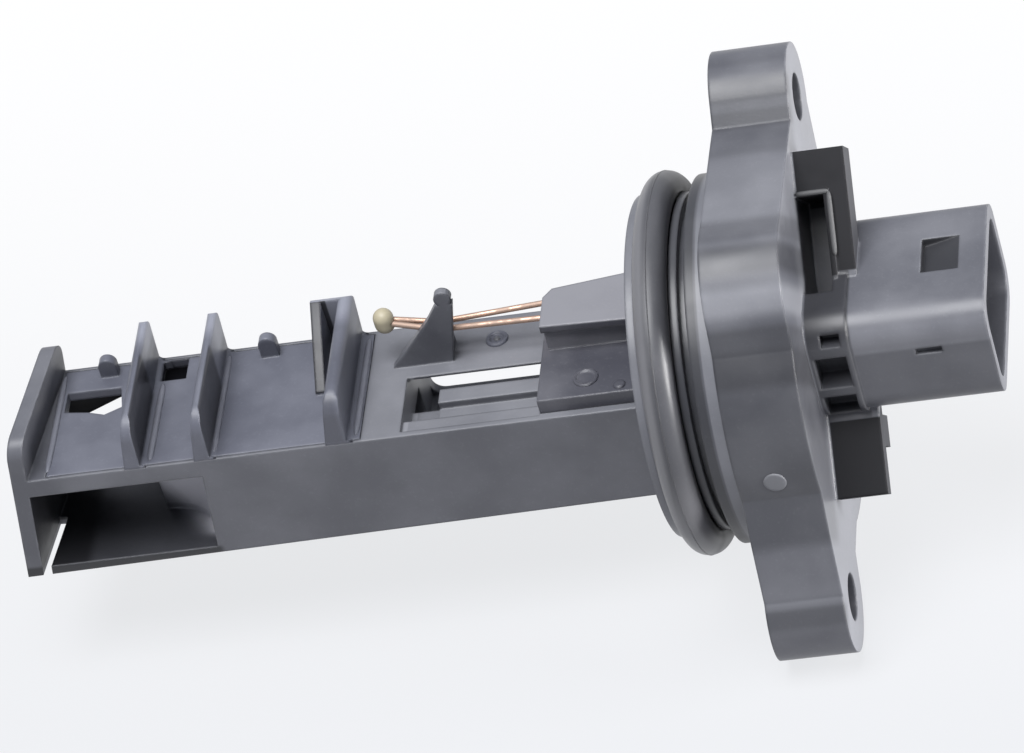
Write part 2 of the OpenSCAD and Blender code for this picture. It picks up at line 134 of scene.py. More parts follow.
# %% Node helpers


def fill(tree, socket, value):
    """Set a socket to a plain value, or join another node's output to it."""
    if isinstance(value, bpy.types.NodeSocket):
        tree.links.new(value, socket)
    else:
        socket.default_value = value


def math_node(tree, operation, *values):
    """One Math node with the given operation and inputs."""
    node = tree.nodes.new("ShaderNodeMath")
    node.operation = operation
    for socket, value in zip(node.inputs, values):
        fill(tree, socket, value)
    return node.outputs[0]


def chain(tree, operation, first, *others):
    """((first op second) op third) and so on."""
    for value in others:
        first = math_node(tree, operation, first, value)
    return first


def product(tree, *values):
    """All values multiplied: as masks, where all of them meet."""
    return chain(tree, "MULTIPLY", *values)


def total(tree, *values):
    """All values added."""
    return chain(tree, "ADD", *values)


def largest(tree, *values):
    """The largest value: as masks, where any of them is."""
    return chain(tree, "MAXIMUM", *values)


def rest_of(tree, value):
    """1 - value: where a mask isn't."""
    return math_node(tree, "SUBTRACT", 1, value)


def remap(tree, value, start, stop, first=0.0, last=1.0):
    """first at start, last at stop, and between them eased by 3 t^2 - 2 t^3."""
    node = tree.nodes.new("ShaderNodeMapRange")
    node.interpolation_type = "SMOOTHSTEP"
    for label, number in (("From Min", start), ("From Max", stop), ("To Min", first),
                          ("To Max", last), ("Value", value)):
        fill(tree, node.inputs[label], number)
    return node.outputs["Result"]


def blend_color(tree, factor, first, second):
    """The first colour at factor 0, the second at 1."""
    node = tree.nodes.new("ShaderNodeMix")
    node.data_type = "RGBA"
    factor_in, first_in, second_in = node.inputs[0], node.inputs[6], node.inputs[7]
    for socket, value in ((factor_in, factor), (first_in, first), (second_in, second)):
        fill(tree, socket, value)
    return node.outputs[2]


def noise(tree, where, scale, detail, roughness=0.5):
    """Cloudy noise from 0 to 1, with scale features to the metre."""
    node = tree.nodes.new("ShaderNodeTexNoise")
    for label, value in (("Scale", scale), ("Detail", detail), ("Roughness", roughness),
                         ("Vector", where)):
        fill(tree, node.inputs[label], value)
    return node.outputs["Fac"]


def parts_of(tree, vector):
    """X, Y and Z of a vector."""
    split = tree.nodes.new("ShaderNodeSeparateXYZ")
    fill(tree, split.inputs[0], vector)
    return split.outputs["X"], split.outputs["Y"], split.outputs["Z"]


def object_place(tree):
    """Object coordinates, and the same as X, Y and Z."""
    where = tree.nodes.new("ShaderNodeTexCoord").outputs["Object"]
    return where, parts_of(tree, where)


def facing_parts(tree):
    """X, Y and Z of the surface's outward normal."""
    return parts_of(tree, tree.nodes.new("ShaderNodeNewGeometry").outputs["Normal"])


print("operations:", ", ".join(helper.__name__ for helper in (product, total, largest)))

# %% [markdown]
# A moulded part isn't one tone: some faces are matter than others, and light and shade fall on it
# unevenly. Texture painting could show that, but it needs an image. Here a mask says in
# millimetres where painted light or shade lies. It is 1 inside, 0 outside, and eased over a soft
# edge. The masks were set until the render's shading agreed with the photograph's.

# %% Mask helpers


def fade(tree, value, start, stop, first=0.0, last=1.0):
    """As remap, with start and stop in millimetres."""
    return remap(tree, value, start * MM, stop * MM, first, last)


def past(tree, value, edge, soft):
    """0 below edge - soft, 1 above edge + soft."""
    return fade(tree, value, edge - soft, edge + soft)


def before(tree, value, edge, soft):
    """1 below edge - soft, 0 above edge + soft."""
    return fade(tree, value, edge + soft, edge - soft)


def band_mask(tree, value, low_end, high_end, soft, amount=1.0):
    """amount between the two ends, 0 outside them."""
    upper = fade(tree, value, high_end - soft, high_end + soft, amount, 0.0)
    return product(tree, past(tree, value, low_end, soft), upper)


def band_sum(tree, value, bands):
    """The sum of the bands, each given as (low end, high end, soft, amount)."""
    return total(tree, *[band_mask(tree, value, *band) for band in bands])


def box_mask(tree, place, spans, soft=0.1, amount=1.0):
    """amount inside the (low, high) span of each value in place; None leaves one free."""
    sides = [band_mask(tree, value, *span, soft) for value, span in zip(place, spans) if span]
    return product(tree, amount, *sides)


print("masks: past, before, band, box")

# %% [markdown]
# The room is a white sweep. A world of one strength would light the sensor flat, so this one
# has three: matt faces get a weak bluish light from it, shiny faces mirror it half as bright as
# white, and the camera sees it as white. The Light Path node tells which of them asks.

# %% Sky
WHITE = (1, 1, 1, 1)
SKY_COLOR = (0.86, 0.9, 1.0, 1)
SKY_MATT = 0.15
SKY_GLOSS = 0.5

world = bpy.data.worlds.new("sky")
scene.world = world
world.use_nodes = True
sky = world.node_tree
sky.nodes.clear()
path = sky.nodes.new("ShaderNodeLightPath").outputs
seen = path["Is Camera Ray"]
gloss = product(sky, path["Is Glossy Ray"], SKY_GLOSS - SKY_MATT)
through = product(sky, path["Is Transmission Ray"], 1 - SKY_MATT)
strength = total(sky, product(sky, seen, 1 - SKY_MATT), SKY_MATT, gloss, through)
room = sky.nodes.new("ShaderNodeBackground")
fill(sky, room.inputs["Color"], blend_color(sky, seen, SKY_COLOR, WHITE))
fill(sky, room.inputs["Strength"], strength)
sky_out = sky.nodes.new("ShaderNodeOutputWorld")
fill(sky, sky_out.inputs["Surface"], room.outputs[0])
print("sky strength", SKY_MATT, "on matt faces")

# %% [markdown]
# The sensor lies above a pale sweep of paper. A studio sweep curves up behind the object, but
# the camera looks down steeply enough to see only its flat part, so one large square is enough.
# It belongs to the stage and not to the sensor.

# %% Floor
FLOOR_Z = -27.2
FLOOR_HALF = 1500.0

floor_mesh = bpy.data.meshes.new("floor")
corners = np.array([(-1, -1, 0), (1, -1, 0), (1, 1, 0), (-1, 1, 0)])
floor_mesh.from_pydata((corners * FLOOR_HALF * MM).tolist(), [], [(0, 1, 2, 3)])
floor = bpy.data.objects.new("floor", floor_mesh)
scene.collection.objects.link(floor)
floor.location.z = FLOOR_Z * MM
print("floor at", FLOOR_Z, "mm")

# %% [markdown]
# The sweep fades from pale grey at the near side to white at the far side. A plain white sheet
# would do, but it throws its light up under the sensor. So only a small share of it is real
# paper that takes the shadow. The rest is a glow that the camera and shiny faces see, and that
# lights nothing else. From below the sweep is clear, so that the underside can be looked at.

# %% Paper of the floor
FLOOR_NEAR = (0.86, 0.88, 0.915, 1)
FLOOR_FAR = (1.12, 1.12, 1.12, 1)
FADE_FROM = -120
FADE_TO = 160
PAPER_SHARE = 0.2
PAPER_COLOR = (0.42, 0.42, 0.44, 1)

paper = bpy.data.materials.new("sweep_paper")
paper.use_nodes = True
tree = paper.node_tree
tree.nodes.clear()
depth = object_place(tree)[1][1]
glow = tree.nodes.new("ShaderNodeEmission")
fill(tree, glow.inputs["Color"],
     blend_color(tree, fade(tree, depth, FADE_FROM, FADE_TO), FLOOR_NEAR, FLOOR_FAR))
body = tree.nodes.new("ShaderNodeBsdfDiffuse")
fill(tree, body.inputs["Color"], PAPER_COLOR)
path = tree.nodes.new("ShaderNodeLightPath").outputs
shown = largest(tree, path["Is Camera Ray"], path["Is Glossy Ray"], path["Is Transmission Ray"])
upper = tree.nodes.new("ShaderNodeMixShader")
fill(tree, upper.inputs["Fac"], product(tree, shown, 1 - PAPER_SHARE))
fill(tree, upper.inputs[1], body.outputs[0])
fill(tree, upper.inputs[2], glow.outputs[0])
both = tree.nodes.new("ShaderNodeMixShader")
fill(tree, both.inputs["Fac"], tree.nodes.new("ShaderNodeNewGeometry").outputs["Backfacing"])
fill(tree, both.inputs[1], upper.outputs[0])
fill(tree, both.inputs[2], tree.nodes.new("ShaderNodeBsdfTransparent").outputs[0])
paper_out = tree.nodes.new("ShaderNodeOutputMaterial")
fill(tree, paper_out.inputs["Surface"], both.outputs[0])
floor_mesh.materials.append(paper)
print("paper share", PAPER_SHARE)

# %% [markdown]
# Glass-filled plastic has what one flat colour lacks: slow pale clouds from the way it flowed
# in the mould, a fine grain and edges that have rubbed lighter. Deep corners also get a painted
# shade. Each material could hold its own copy of these nodes. Every moulded piece shares them,
# so they are one node group that is built once, and each material sets its own values.

# %% Node group: moulded surface
# The near black that painted shade darkens toward, in deep corners and under the Shade masks.
PAINTED_SHADE_COLOR = (0.010, 0.010, 0.012, 1)
# The pale tone is that of the clouds, grain and rubbed edges, and also of painted light.
GROUP_COLORS = {"Base": (0.1, 0.1, 0.1, 1), "BloomAndLight": (0.3, 0.3, 0.3, 1)}
GROUP_VALUES = {"Cloud": 0.25, "Wear": 0.5, "Dull": 0.45, "CornerShade": 0.8, "Shade": 0.0,
                "Pale": 0.0}
GROUP_OUTPUTS = {"Color": "NodeSocketColor", "Roughness": "NodeSocketFloat",
                 "Height": "NodeSocketFloat", "Normal": "NodeSocketVector"}

moulded = bpy.data.node_groups.new("moulded_surface", "ShaderNodeTree")
for kind, defaults in (("NodeSocketColor", GROUP_COLORS), ("NodeSocketFloat", GROUP_VALUES)):
    for label, value in defaults.items():
        socket = moulded.interface.new_socket(label, in_out="INPUT", socket_type=kind)
        socket.default_value = value
for label, kind in GROUP_OUTPUTS.items():
    moulded.interface.new_socket(label, in_out="OUTPUT", socket_type=kind)
given = moulded.nodes.new("NodeGroupInput").outputs
made = moulded.nodes.new("NodeGroupOutput").inputs
print("group inputs:", [socket.name for socket in given if socket.name])

# %% [markdown]
# Clouds, patches and grain are the same noise at three sizes. A moulded edge has a small round
# that the solids leave out. It could be cut into every mesh, but the Bevel node bends the
# normal there instead, and where the bent normal and the face part, there is an edge to rub
# pale. Ambient occlusion says how closed in a point is, and there it paints shade into deep
# corners.

# %% Pattern, edges and corners
CLOUD_SCALE = 90.0
PATCH_SCALE = 420.0
GRAIN_SCALE = 2600.0
EDGE_RADIUS = 0.45 * MM
# How far the painted corner shade looks for closed-in corners.
CORNER_SHADE_REACH = 8 * MM
RAY_SAMPLES = 6
CLOUD_RANGE = (0.35, 0.7)
PATCH_RANGE = (0.3, 0.65)
BEND_RANGE = (0.995, 0.85)
OPEN_RANGE = (0.45, 0.08)

where = object_place(moulded)[0]
clouds = remap(moulded, noise(moulded, where, CLOUD_SCALE, 4.0), *CLOUD_RANGE)
patches = remap(moulded, noise(moulded, where, PATCH_SCALE, 3.0), *PATCH_RANGE)
grain = noise(moulded, where, GRAIN_SCALE, 2.0, 0.6)

bevel = moulded.nodes.new("ShaderNodeBevel")
bevel.samples = RAY_SAMPLES
fill(moulded, bevel.inputs["Radius"], EDGE_RADIUS)
rounded = bevel.outputs["Normal"]
bend = moulded.nodes.new("ShaderNodeVectorMath")
bend.operation = "DOT_PRODUCT"
fill(moulded, bend.inputs[0], rounded)
fill(moulded, bend.inputs[1], moulded.nodes.new("ShaderNodeNewGeometry").outputs["Normal"])
edge = product(moulded, remap(moulded, bend.outputs["Value"], *BEND_RANGE), patches)

# Painted shade: ambient occlusion darkens the colour in closed-in corners.
hollow = moulded.nodes.new("ShaderNodeAmbientOcclusion")
hollow.samples = RAY_SAMPLES
fill(moulded, hollow.inputs["Distance"], CORNER_SHADE_REACH)
deep = remap(moulded, hollow.outputs["AO"], *OPEN_RANGE)
print("edge radius", round(EDGE_RADIUS / MM, 2), "mm, cavity reach", round(CORNER_SHADE_REACH / MM), "mm")

# %% [markdown]
# Colours could be stacked with many mix nodes. Here everything pale is first gathered into one
# number and everything dark into another, and then two mixes are enough: from Base toward the
# pale tone, and from there toward near black. Shade and Pale are where a material puts its masks of
# painted shade and painted light.

# %% Colour and gloss of the group
SPECK_RANGE = (0.55, 0.8)
SPECK = 0.12
DULL_SPREAD = (-0.05, 0.08)

haze = product(moulded, clouds, given["Cloud"])
speck = remap(moulded, grain, *SPECK_RANGE, 0.0, SPECK)
lift = largest(moulded, total(moulded, haze, speck, given["Pale"]),
               product(moulded, edge, given["Wear"]))
dark = largest(moulded, product(moulded, deep, given["CornerShade"]), given["Shade"])
tinted = blend_color(moulded, lift, given["Base"], given["BloomAndLight"])
fill(moulded, made["Color"], blend_color(moulded, dark, tinted, PAINTED_SHADE_COLOR))
fill(moulded, made["Roughness"],
     total(moulded, given["Dull"], remap(moulded, clouds, 0, 1, *DULL_SPREAD)))
fill(moulded, made["Height"], grain)
fill(moulded, made["Normal"], rounded)
print("group nodes:", len(moulded.nodes))

# %% [markdown]
# Each finish is a material with its own Principled shader, fed by the group. The shader stays
# outside the group, because an export can't read it in there. Metal isn't moulded: it gets a
# recipe of its own, with two tints and a gloss that fades where it has tarnished.

# %% Material recipes
GRAIN_DEPTH = 0.02 * MM
STAIN_SCALE = 700.0
STAIN_RANGE = (0.4, 0.65)
STAIN_DULLS = 0.2


def moulded_material(name, base, bloom_and_light, cloud, wear, dull, bump, corner_shade=0.8):
    """Plastic, rubber or resin. Gives back the material, its tree and the group node."""
    material = bpy.data.materials.new(name)
    material.use_nodes = True
    tree = material.node_tree
    body = tree.nodes["Principled BSDF"]
    surface = tree.nodes.new("ShaderNodeGroup")
    surface.node_tree = moulded
    for label, value in (("Base", base + (1,)), ("BloomAndLight", bloom_and_light + (1,)), ("Cloud", cloud),
                         ("Wear", wear), ("Dull", dull), ("CornerShade", corner_shade)):
        fill(tree, surface.inputs[label], value)
    grain = tree.nodes.new("ShaderNodeBump")
    for label, value in (("Strength", bump), ("Distance", GRAIN_DEPTH),
                         ("Height", surface.outputs["Height"]),
                         ("Normal", surface.outputs["Normal"])):
        fill(tree, grain.inputs[label], value)
    fill(tree, body.inputs["Base Color"], surface.outputs["Color"])
    fill(tree, body.inputs["Roughness"], surface.outputs["Roughness"])
    fill(tree, body.inputs["Normal"], grain.outputs["Normal"])
    return material, tree, surface


def metal_material(name, bright, stained, roughness):
    """Tinned or tarnished metal: two colours mixed by slow noise, rougher where stained."""
    material = bpy.data.materials.new(name)
    material.use_nodes = True
    tree = material.node_tree
    body = tree.nodes["Principled BSDF"]
    spots = noise(tree, object_place(tree)[0], STAIN_SCALE, 3.0)
    stain = remap(tree, spots, *STAIN_RANGE)
    fill(tree, body.inputs["Base Color"], blend_color(tree, stain, bright + (1,), stained + (1,)))
    fill(tree, body.inputs["Roughness"],
         remap(tree, stain, 0, 1, roughness, roughness + STAIN_DULLS))
    fill(tree, body.inputs["Metallic"], 1.0)
    return material


print("grain depth", round(GRAIN_DEPTH / MM, 3), "mm")

# %% [markdown]
# The O-ring is smooth black rubber. Where it turns toward the probe tip, and along its lower
# side, it mirrors the pale sweep softly. A real reflection would need a room with more in it
# than this one has, so two masks lift the colour there.

# %% Seal rubber
TIP_SHEEN = 0.85
LOW_SHEEN = 0.7

rubber_mat, tree, surface = moulded_material(
    "seal_rubber", (0.066, 0.067, 0.075), (0.17, 0.17, 0.182), cloud=0.2, wear=0.0, dull=0.38,
    bump=0.15)
height = object_place(tree)[1][2]
toward_tip = remap(tree, facing_parts(tree)[0], -0.1, -0.5, 0.0, TIP_SHEEN)
low_side = fade(tree, height, 4, -4, 0.0, LOW_SHEEN)
fill(tree, surface.inputs["Pale"], largest(tree, toward_tip, low_side))
print("seal nodes:", len(tree.nodes))

# %% [markdown]
# The small parts need no masks. The bead is dipped in a cream coating, the wires are dull
# copper, the blades are tinned, and the board, chips and blocks inside have the usual colours
# of such parts. The rails, rims and marks are the housing's plastic, paler than the faces around
# them: on the rails and rims that is a painted highlight along their rounded tops.

# %% Small finishes
bead_mat = moulded_material("bead_coating", (0.42, 0.37, 0.25), (0.58, 0.53, 0.4),
                            cloud=0.5, wear=0.0, dull=0.35, bump=0.5, corner_shade=0.2)[0]
board_mat = moulded_material("board_mask", (0.03, 0.13, 0.06), (0.08, 0.2, 0.1),
                             cloud=0.3, wear=0.2, dull=0.35, bump=0.2)[0]
package_mat = moulded_material("chip_package", (0.03, 0.03, 0.033), (0.1, 0.1, 0.1),
                               cloud=0.2, wear=0.3, dull=0.5, bump=0.3)[0]
ceramic_mat = moulded_material("white_ceramic", (0.72, 0.72, 0.68), (0.85, 0.85, 0.82),
                               cloud=0.4, wear=0.1, dull=0.5, bump=0.2)[0]
capacitor_mat = moulded_material("tan_ceramic", (0.42, 0.3, 0.18), (0.55, 0.42, 0.28),
                                 cloud=0.4, wear=0.2, dull=0.5, bump=0.2)[0]
silicon_mat = moulded_material("silicon", (0.12, 0.14, 0.2), (0.2, 0.22, 0.3),
                               cloud=0.2, wear=0.1, dull=0.15, bump=0.05)[0]
# The rails and the pocket rim are paler than the faces around them: a painted highlight.
rail_mat = moulded_material("rail_painted_highlight", (0.15, 0.155, 0.185), (0.3, 0.31, 0.36),
                            cloud=0.4, wear=0.3, dull=0.42, bump=0.3, corner_shade=0.3)[0]
mark_mat = moulded_material("pale_mark", (0.14, 0.144, 0.16), (0.25, 0.255, 0.27),
                            cloud=0.4, wear=0.3, dull=0.5, bump=0.3)[0]
rim_mat = moulded_material("web_rim", (0.07, 0.071, 0.074), (0.15, 0.152, 0.155),
                           cloud=0.3, wear=0.2, dull=0.6, bump=0.3)[0]
lead_mat = metal_material("dull_copper", (0.62, 0.43, 0.33), (0.5, 0.38, 0.31), 0.5)
terminal_mat = metal_material("tin_plate", (0.62, 0.6, 0.56), (0.5, 0.48, 0.44), 0.28)
print("materials:", len(bpy.data.materials))

# %% [markdown]
# The housing is one moulding of one plastic, but light and shade fall on it unevenly. The next
# cells each look at one part of it and add masks to three lists: painted shade, painted light,
# and painted shade that also takes the sheen away. A near-black plastic still mirrors 4 % of
# the room, which shows as grey. Metal mirrors only as much as its colour, so a little Metallic
# under a near-black colour takes that grey away.

# %% Housing plastic
HOUSING_BASE = (0.093, 0.096, 0.112)
HOUSING_BLOOM_AND_LIGHT = (0.25, 0.255, 0.28)
HOUSING_DULL = 0.4

housing_mat, tree, surface = moulded_material("housing_plastic", HOUSING_BASE, HOUSING_BLOOM_AND_LIGHT,
                                              cloud=0.3, wear=0.6, dull=HOUSING_DULL, bump=0.35)
x, y, z = place = object_place(tree)[1]
normal_x, normal_y, normal_z = facing_parts(tree)
# Lists of painted shade, painted light, and painted shade that also takes the sheen away.
darker, paler, shade_no_sheen = [], [], []
print("housing plastic", HOUSING_BASE)

# %% [markdown]
# The webs behind the plug are matt and lie in the shade of the flange and the plug, so a painted
# shade makes them nearly black, most of all on their flanks. They are the only plastic beyond the
# flange that lies outside the plug socket, so their mask is the space around the socket. A collar
# next to the flange gets a painted shade too, which leaves it a little darker than the plug.

# %% Webs and collar
FLANGE_T = 9.0
SHROUD_HALF_W = 10.1
SHROUD_HALF_H = 7.0
SHROUD_Z = 4.1
SHROUD_MARGIN = 0.55
COLLAR_END = 14.0
COLLAR_SHADE = (0.48, 0.75)
WEB_END_SHADE = 0.7
WEB_FLANK_SHADE = 0.97
WEB_SHADE_NO_SHEEN = 0.45

off_side = math_node(tree, "ABSOLUTE", y)
off_top = math_node(tree, "ABSOLUTE", math_node(tree, "SUBTRACT", z, SHROUD_Z * MM))
around_socket = largest(tree, past(tree, off_side, SHROUD_HALF_W + SHROUD_MARGIN, 0.1),
                        past(tree, off_top, SHROUD_HALF_H + SHROUD_MARGIN, 0.1))
beyond_flange = past(tree, x, FLANGE_T + 0.25, 0.1)
webs = product(tree, beyond_flange, around_socket,
               remap(tree, normal_x, 0.7, 0.5, WEB_END_SHADE, WEB_FLANK_SHADE))
collar = product(tree, beyond_flange, before(tree, x, COLLAR_END + 0.15, 0.15),
                 fade(tree, z, 8, 10, *COLLAR_SHADE))
darker += [webs, collar]
shade_no_sheen.append(product(tree, webs, WEB_SHADE_NO_SHEEN))
print("webs begin", FLANGE_T, "mm from the seat, collar ends at", COLLAR_END, "mm")

# %% [markdown]
# The inlet duct is a box in deep shade, with a scoop at its end that turns the air inward and
# catches the light. The group's painted corner shade alone left it too pale, so a painted shade
# fills the duct's own box, less the outward faces, and a slanted plane parts the scoop, with its
# painted highlight, from the rest.

# %% Inlet duct
DUCT_WALL_Y = -9.3
DUCT_END_X = -63.15
DUCT_Z = (-11.5, 1.375)
DUCT_BACK_Y = 8.9
DUCT_FLOOR_Z = -10.4
TIP_FACE_X = -78.5
SCOOP_EDGE = -77.0
SCOOP_SLANT_Y = 0.76
SCOOP_SLANT_Z = 0.58
DUCT_SHADE = (0.6, 0.9)
DUCT_DARKEST = 0.95
FLOOR_SHADE_NO_SHEEN = 0.4

tip_outside = product(tree, remap(tree, normal_x, -0.6, -0.8), before(tree, x, TIP_FACE_X, 0.5))
inside = product(tree, past(tree, y, DUCT_WALL_Y, 0.05), before(tree, x, DUCT_END_X, 0.15),
                 before(tree, z, DUCT_Z[1], 0.075), past(tree, z, DUCT_Z[0], 0.1),
                 before(tree, y, DUCT_BACK_Y, 0.1), rest_of(tree, tip_outside))
duct_floor = before(tree, z, DUCT_FLOOR_Z, 0.4)
slant = total(tree, x, product(tree, y, SCOOP_SLANT_Y), product(tree, z, SCOOP_SLANT_Z))
scoop = product(tree, past(tree, slant, SCOOP_EDGE, 3), inside, before(tree, y, 0.5, 0.5),
                largest(tree, rest_of(tree, duct_floor), fade(tree, y, -8.5, -6.5, 0.1, 0.9)))
deepness = total(tree, fade(tree, x, -79, -80.5, *DUCT_SHADE), fade(tree, y, 3, 5, 0.0, 0.3))
deepness = math_node(tree, "MINIMUM", deepness, DUCT_DARKEST)
duct = product(tree, inside, largest(tree, 0, math_node(tree, "SUBTRACT", deepness, scoop)))
# Painted shade on the lower bar along the near side of the duct.
lower_bar = product(tree, before(tree, x, -63.8, 0.4), fade(tree, z, -10.6, -11.2, 0.0, 0.85),
                    before(tree, y, -9.2, 0.1))
darker += [duct, lower_bar]
paler.append(scoop)
shade_no_sheen.append(product(tree, inside, rest_of(tree, scoop), duct_floor, FLOOR_SHADE_NO_SHEEN))
print("duct from the tip to", DUCT_END_X, "mm, scoop edge", SCOOP_EDGE, "mm")

# %% [markdown]
# The side of the flange follows the outline of ears, necks and lobes, so it shows soft bands
# where it curves toward lighter or darker parts of the room. This room is plain, so the bands
# are masks instead, along the line of the bolts. That line lies at 45 degrees to Y and Z, and a
# turned coordinate runs along it. A row of numbers is where a band begins and ends along it, how
# soft its edges are, and how much darker or paler it is.

# %% Side of the flange
LOBE_END = 1.4
LOW_SIDE_SHADE = (0.35, 0.48)
EAR_START = 21.8
EAR_SHADE = 0.32
NECK_SPAN = (12, 22)
NECK_PALE = 0.32
DARK_BANDS = [(32.6, 40, 0.5, 0.22), (31, 32.4, 0.4, -0.2), (28.2, 30.6, 0.5, 0.3),
              (25.2, 27, 0.4, 0.26), (22.3, 24.9, 0.5, -0.14), (11.2, 13.7, 0.5, 0.3),
              (7.2, 10.6, 0.8, 0.52), (-5.2, -1.2, 0.8, 0.22), (-28.6, -22.6, 1.0, -0.4),
              (-31.6, -29.4, 0.4, 0.3), (-33, -31.6, 0.4, 0.1), (-37, -33.8, 0.6, -0.2)]
PALE_BANDS = [(2.6, 5.8, 0.9, 0.7), (-28, -22.6, 1.0, 0.1), (-37, -33.8, 0.6, 0.12)]

along = product(tree, total(tree, y, z), np.sqrt(0.5))
near = product(tree, math_node(tree, "SUBTRACT", z, y), np.sqrt(0.5))
near_side = past(tree, near, 5, 2)
flange_side = product(tree, near_side, past(tree, x, -0.1, 0.05),
                      before(tree, x, FLANGE_T + 0.05, 0.05))
below_lobe = product(tree, before(tree, along, LOBE_END, 0.6),
                     fade(tree, along, -20, -6, *LOW_SIDE_SHADE))
ear = product(tree, past(tree, along, EAR_START, 0.8), EAR_SHADE)
darker.append(product(tree, flange_side,
                      total(tree, below_lobe, ear, band_sum(tree, along, DARK_BANDS))))
neck = product(tree, past(tree, along, NECK_SPAN[0], 3), before(tree, along, NECK_SPAN[1], 2),
               near_side, NECK_PALE)
paler += [neck, product(tree, flange_side, band_sum(tree, along, PALE_BANDS))]
print("bands on the flange:", len(DARK_BANDS), "dark,", len(PALE_BANDS), "pale")

# %% [markdown]
# The plug socket bends toward the viewer along a line on its side: above it a painted highlight
# makes the side paler, below it a painted shade darker. The flange's end face gets painted light
# toward both ears, and the walls of the latch window a painted shade.

# %% Plug and end face
PLUG_BEND_Z = 6.8
PLUG_LOW_SHADE = 0.24
PLUG_HIGH_PALE = 0.2
END_FACE_PALE = 0.45
LATCH_BOX = ((22.1, 26.85), (-2.55, 3.35), None)
LATCH_Z = (9.9, 11.075)
LATCH_SHADE = 0.8

plug_side = product(tree, past(tree, x, COLLAR_END + 0.2, 0.1), before(tree, y, -9.3, 0.3))
plug_low = product(tree, plug_side, before(tree, z, PLUG_BEND_Z, 0.3), PLUG_LOW_SHADE)
plug_high = product(tree, plug_side, past(tree, z, PLUG_BEND_Z, 0.3), PLUG_HIGH_PALE)
toward_ears = largest(tree, before(tree, along, -10, 2), past(tree, along, 19, 2))
end_face = product(tree, past(tree, x, FLANGE_T - 0.1, 0.05), toward_ears,
                   before(tree, x, FLANGE_T + 0.2, 0.1), END_FACE_PALE)
latch = product(tree, box_mask(tree, place, LATCH_BOX, 0.05, LATCH_SHADE),
                past(tree, z, LATCH_Z[0], 0.05), before(tree, z, LATCH_Z[1], 0.025))
darker += [plug_low, latch]
paler += [plug_high, end_face]
print("plug bends at", PLUG_BEND_Z, "mm above the axis")

# %% [markdown]
# The spigot is turned about X, so its masks use the distance from that axis. The groove of the
# O-ring gets a painted shade, the shoulder next to the flange a painted shade on its face and a
# painted highlight on its rim, and the lip on the tip side of the ring a painted highlight.

# %% Spigot
GROOVE_X = (-6.2, -1.4)
GROOVE_SHADE = 0.6
LIP_X = -7.75
LIP_INNER_R = 18
LIP_PALE = 0.3
SHOULDER_R = (20.5, 21.5)
SHOULDER_SHADE = 0.7
RIM_PALE = 0.4

radius = math_node(tree, "SQRT", total(tree, product(tree, y, y), product(tree, z, z)))
groove = product(tree, past(tree, x, GROOVE_X[0], 0.2), before(tree, x, GROOVE_X[1], 0.3),
                 GROOVE_SHADE)
lip = product(tree, before(tree, x, LIP_X, 0.25), past(tree, radius, LIP_INNER_R, 0.5), LIP_PALE)
shoulder = box_mask(tree, (x, radius), ((-2.7, -1.5), SHOULDER_R), 0.15, SHOULDER_SHADE)
shoulder_rim = box_mask(tree, (x, radius), ((-1.3, -0.05), SHOULDER_R), 0.05, RIM_PALE)
darker += [groove, shoulder]
paler += [lip, shoulder_rim]
print("lip sheen", LIP_PALE)

# %% [markdown]
# The probe's near side and top are made a little paler than the flange. The end wall of the bay
# behind the ribs gets painted light, and the tip plate a painted shade on the flank that looks
# back at the ribs. A ledge in the duct, under the cover, lies in deep shade, so its painted shade
# also takes its sheen away.

# %% Probe
PROBE_X = (-80, -9.9)
SIDE_PALE = 0.13
TOP_PALE = 0.45
BAY_BOX = ((-42, -38.6), (-9, 9.2), (-7.5, 2.3))
BAY_PALE = 0.85
TIP_BOX = ((-86, -80.5), None, (2.4, 9))
TIP_SHADE = 0.25
LEDGE_BOX = ((-69.4, -64), (2, 9.2), (-3, 1.3))

probe_side = product(tree, before(tree, y, -9.2, 0.1), SIDE_PALE)
probe_top = product(tree, remap(tree, normal_z, 0.75, 0.85),
                    fade(tree, x, -44.5, -43.5, SIDE_PALE, TOP_PALE))
probe = product(tree, largest(tree, probe_side, probe_top), before(tree, x, PROBE_X[1], 0.1),
                past(tree, x, PROBE_X[0], 2))
bay = box_mask(tree, place, BAY_BOX, 0.1, BAY_PALE)
tip_flank = product(tree, remap(tree, normal_x, 0.6, 0.8),
                    box_mask(tree, place, TIP_BOX, 0.1, TIP_SHADE))
ledge = box_mask(tree, place, LEDGE_BOX, 0.05)
darker += [tip_flank, ledge]
paler += [probe, bay]
shade_no_sheen.append(ledge)
print("masks:", len(darker), "darker,", len(paler), "paler,", len(shade_no_sheen), "shade_no_sheen")

# %% [markdown]
# Where masks meet, adding them would overshoot, so the largest one counts. The scoop's painted
# highlight is paler than the plastic's own bloom, and the scoop and the bay get no painted corner
# shade.

# %% Join the housing's masks
# The colour of the painted highlight on the scoop.
SCOOP_HIGHLIGHT_COLOR = (0.75, 0.75, 0.8, 1)
# Strength of the painted corner shade on the housing.
HOUSING_CORNER_SHADE = 0.4
WEB_DULL = 0.4

fill(tree, surface.inputs["Shade"], largest(tree, *darker))
fill(tree, surface.inputs["Pale"], largest(tree, *paler))
fill(tree, tree.nodes["Principled BSDF"].inputs["Metallic"], largest(tree, *shade_no_sheen))
fill(tree, surface.inputs["BloomAndLight"], blend_color(tree, scoop, HOUSING_BLOOM_AND_LIGHT + (1,), SCOOP_HIGHLIGHT_COLOR))
fill(tree, surface.inputs["CornerShade"],
     product(tree, HOUSING_CORNER_SHADE, rest_of(tree, largest(tree, scoop, bay))))
fill(tree, surface.inputs["Dull"], total(tree, HOUSING_DULL, product(tree, webs, WEB_DULL)))
print("housing nodes:", len(tree.nodes))

